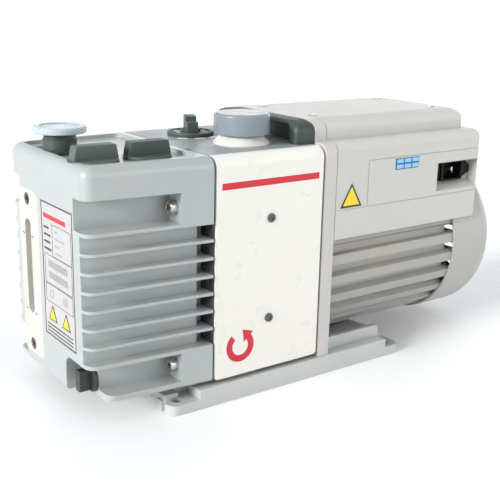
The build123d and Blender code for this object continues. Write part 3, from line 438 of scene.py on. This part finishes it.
def cover_marks():
    """A blank yellow patch and the two windows of the blue plate, on the cover's near side."""
    low, high = node_box("voltage_plate")
    plate = Face((low.x, low.y, low.z), (1, 0, 0), (0, 0, 1), (0, -1, 0))
    width, height = high.x - low.x, high.z - low.z
    panes = [bar(1.2 + i * width / 3, width / 3 * (i + 1) - 0.4, 0.9 + j * height / 2, height / 2 * (j + 1) - 0.6)
             for i in range(3) for j in range(2)]
    printed("plate_windows", plate, panes, PALE_BLUE)
    cover_low, cover_high = node_box("motor_cover")
    side = Face((cover_low.x, cover_low.y, 0), (1, 0, 0), (0, 0, 1), (0, -1, 0))
    edge = [(5.5, 144.5), (29.5, 144.5), (17.5, 165.0)]
    inner = [(8.3, 146.1), (26.7, 146.1), (17.5, 161.8)]
    printed("cover_patch_edge", side, [edge], DARK)
    printed("cover_patch", side, [inner], YELLOW, lift=0.12)


def ballast_marks():
    """White dial marks on the knob and on the body beside it."""
    low, high = node_box("gas_ballast_knob")
    centre = (low + high) / 2
    body_low, body_high = node_box("pump_body")
    top = Face((centre.x, centre.y, body_high.z), (1, 0, 0), (0, 1, 0), (0, 0, 1))
    legend = []
    for start in (-150, -112, -74, 30, 75):
        legend += arc_bands(0, 0, 20.6, 24.2, start, start + 22, 8)
    printed("ballast_legend", top, legend, WHITE)
    dial = Face((centre.x, centre.y, body_high.z + 2.8), (1, 0, 0), (0, 1, 0), (0, 0, 1))
    marks = []
    for angle in range(0, 360, 45):
        marks += arc_bands(0, 0, 10.5, 14.8, angle - 5, angle + 5, 4)
    printed("dial_marks", dial, marks, WHITE, body="gas_ballast_knob")


def sight_marks():
    """Level lines beside the sight glass and the pale spot under it."""
    low, high = node_box("sight_glass_plate")
    glass_low, glass_high = node_box("sight_glass")
    middle = high.y - (glass_low.y + glass_high.y) / 2
    face = Face((low.x, high.y, 0), (0, -1, 0), (0, 0, 1), (-1, 0, 0))
    ticks = [bar(middle + side * 9 - 2.2, middle + side * 9 + 2.2, z, z + 0.8)
             for side in (-1, 1) for z in (64.0, 127.6)]
    printed("level_ticks", face, ticks, DARK)
    spot = arc(middle + 0.5, 52.5, 3.4, 0, 345, 23)
    printed("sight_spot", face, [spot], WHITE)


dress_frame()
rating_plate_print()
side_panel_print("side_panel_near", -1)
side_panel_print("side_panel_far", 1)
cover_marks()
ballast_marks()
sight_marks()


# ---------------------------------------------------------------- stage, light, camera
def stage_floor():
    """A round pale floor whose far rim curves up, so that no edge of it is seen."""
    profile = ((0.0, 0.0), (3.0, 0.0), (8.0, 0.0), (9.0, 0.15), (9.7, 0.6), (10.2, 1.4), (10.5, 3.0))
    steps = 96
    work = bmesh.new()
    rings = []
    for radius, height in profile[1:]:
        turn = [2 * math.pi * step / steps for step in range(steps)]
        rings.append([work.verts.new((radius * math.cos(a), radius * math.sin(a), height)) for a in turn])
    work.faces.new(rings[0])
    for inner, outer in zip(rings, rings[1:]):
        for step in range(steps):
            after = (step + 1) % steps
            work.faces.new((inner[step], outer[step], outer[after], inner[after]))
    mesh = bpy.data.meshes.new("floor")
    work.to_mesh(mesh)
    work.free()
    look = Look("pale_floor", roughness=0.6)
    look.colour(look.mix(look.spread(look.noise(3, 3), 0.0, 1.0), (0.97, 0.97, 0.97), (0.95, 0.95, 0.955)))
    mesh.materials.append(look.material)
    floor = bpy.data.objects.new("floor", mesh)
    bpy.context.scene.collection.objects.link(floor)


def sun_light(name, from_direction, strength, softness, colour=(1, 1, 1)):
    """A distant soft source; strength is the light that a white face turned to it gives back."""
    light = bpy.data.lights.new(name, "SUN")
    light.energy, light.angle, light.color = strength * math.pi, math.radians(softness), colour
    holder = bpy.data.objects.new(name, light)
    holder.rotation_euler = (-Vector(from_direction)).to_track_quat("-Z", "Y").to_euler()
    bpy.context.scene.collection.objects.link(holder)


def studio():
    world = bpy.data.worlds.new("studio")
    world.use_nodes = True
    background = world.node_tree.nodes["Background"]
    background.inputs["Color"].default_value = (0.93, 0.97, 1.0, 1)
    background.inputs["Strength"].default_value = 0.60
    bpy.context.scene.world = world
    bpy.context.scene.view_settings.view_transform = "Standard"
    sun_light("key", (-0.96, -0.07, 0.26), 2.50, 24, (1.0, 0.99, 0.96))
    sun_light("front", (0.35, -0.92, 0.18), 0.38, 40, (1.0, 0.98, 0.94))
    sun_light("top", (-0.1, 0.1, 0.98), 0.08, 60, (0.72, 0.88, 1.0))


def photo_camera():
    """Camera at the photograph's viewing angle, measured from the object's own frame."""
    data = bpy.data.cameras.new("camera")
    data.sensor_width, data.lens = 36.0, 63.28
    camera = bpy.data.objects.new("camera", data)
    bearing, down, roll = math.radians(36.09), math.radians(16.06), math.radians(1.28)
    forward = Vector((math.sin(bearing) * math.cos(down), math.cos(bearing) * math.cos(down), -math.sin(down)))
    level = forward.cross(Vector((0, 0, 1))).normalized()
    right = level * math.cos(roll) + level.cross(forward) * math.sin(roll)
    up = right.cross(forward)
    turn = Matrix((right, up, -forward)).transposed().to_4x4()
    camera.matrix_world = Matrix.Translation((-0.4656, -0.6067, 0.3116)) @ turn
    data.clip_start, data.clip_end = 0.01, 50
    bpy.context.scene.collection.objects.link(camera)
    bpy.context.scene.camera = camera


stage_floor()
studio()
photo_camera()
